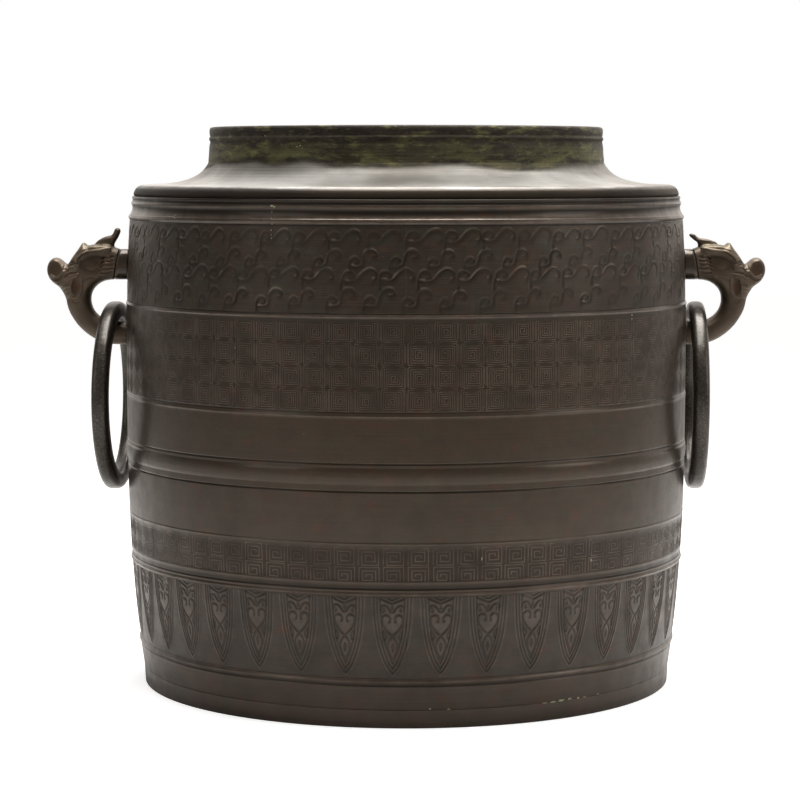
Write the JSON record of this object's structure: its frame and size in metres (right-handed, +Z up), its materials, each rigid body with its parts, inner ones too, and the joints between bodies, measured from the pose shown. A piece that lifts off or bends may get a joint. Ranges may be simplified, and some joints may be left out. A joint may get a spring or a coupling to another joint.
{
  "type": "pot",
  "caption": "Round bronze pot with a short neck, bands of cast ornament, beast-head loop handles and a loose ring hanging in each loop.",
  "frame": {"origin": "middle of the face that the foot stands on", "axes": "+Z up along the pot's axis, handles along +X and -X, front towards -Y"},
  "size_m": [0.3862, 0.301, 0.2964],
  "materials": {
    "brown_bronze": "cast bronze with a smooth dark brown patina",
    "green_bronze": "cast bronze with a mottled olive and green patina",
    "olive_bronze": "cast and chased bronze, olive on the high parts and reddish brown in the hollows",
    "dark_bronze": "smooth dark bronze worn to a low shine",
    "bare_bronze": "plain bronze as cast"
  },
  "bodies": {
    "pot": {"vessel_wall": "brown_bronze", "shoulder": "brown_bronze", "neck_collar": "green_bronze", "foot_ring": "brown_bronze", "base_plate": "bare_bronze", "right_handle": "olive_bronze", "right_socket": "brown_bronze", "right_upper_rivet": "bare_bronze", "right_lower_rivet": "bare_bronze", "left_handle": "olive_bronze", "left_socket": "brown_bronze", "left_upper_rivet": "bare_bronze", "left_lower_rivet": "bare_bronze"},
    "right_ring": {"right_ring": "dark_bronze"},
    "left_ring": {"left_ring": "dark_bronze"}
  },
  "joints": [
    {"name": "right_ring_swing", "type": "hinge", "parent": "pot", "child": "right_ring", "pos_m": [0.15597, 0, 0.1982], "axis": [-0.0314, -0.9995, 0], "range_deg": [-1, 188]},
    {"name": "left_ring_swing", "type": "hinge", "parent": "pot", "child": "left_ring", "pos_m": [-0.15687, 0, 0.1982], "axis": [0.075, 0.9972, 0], "range_deg": [-1, 187]}
  ]
}
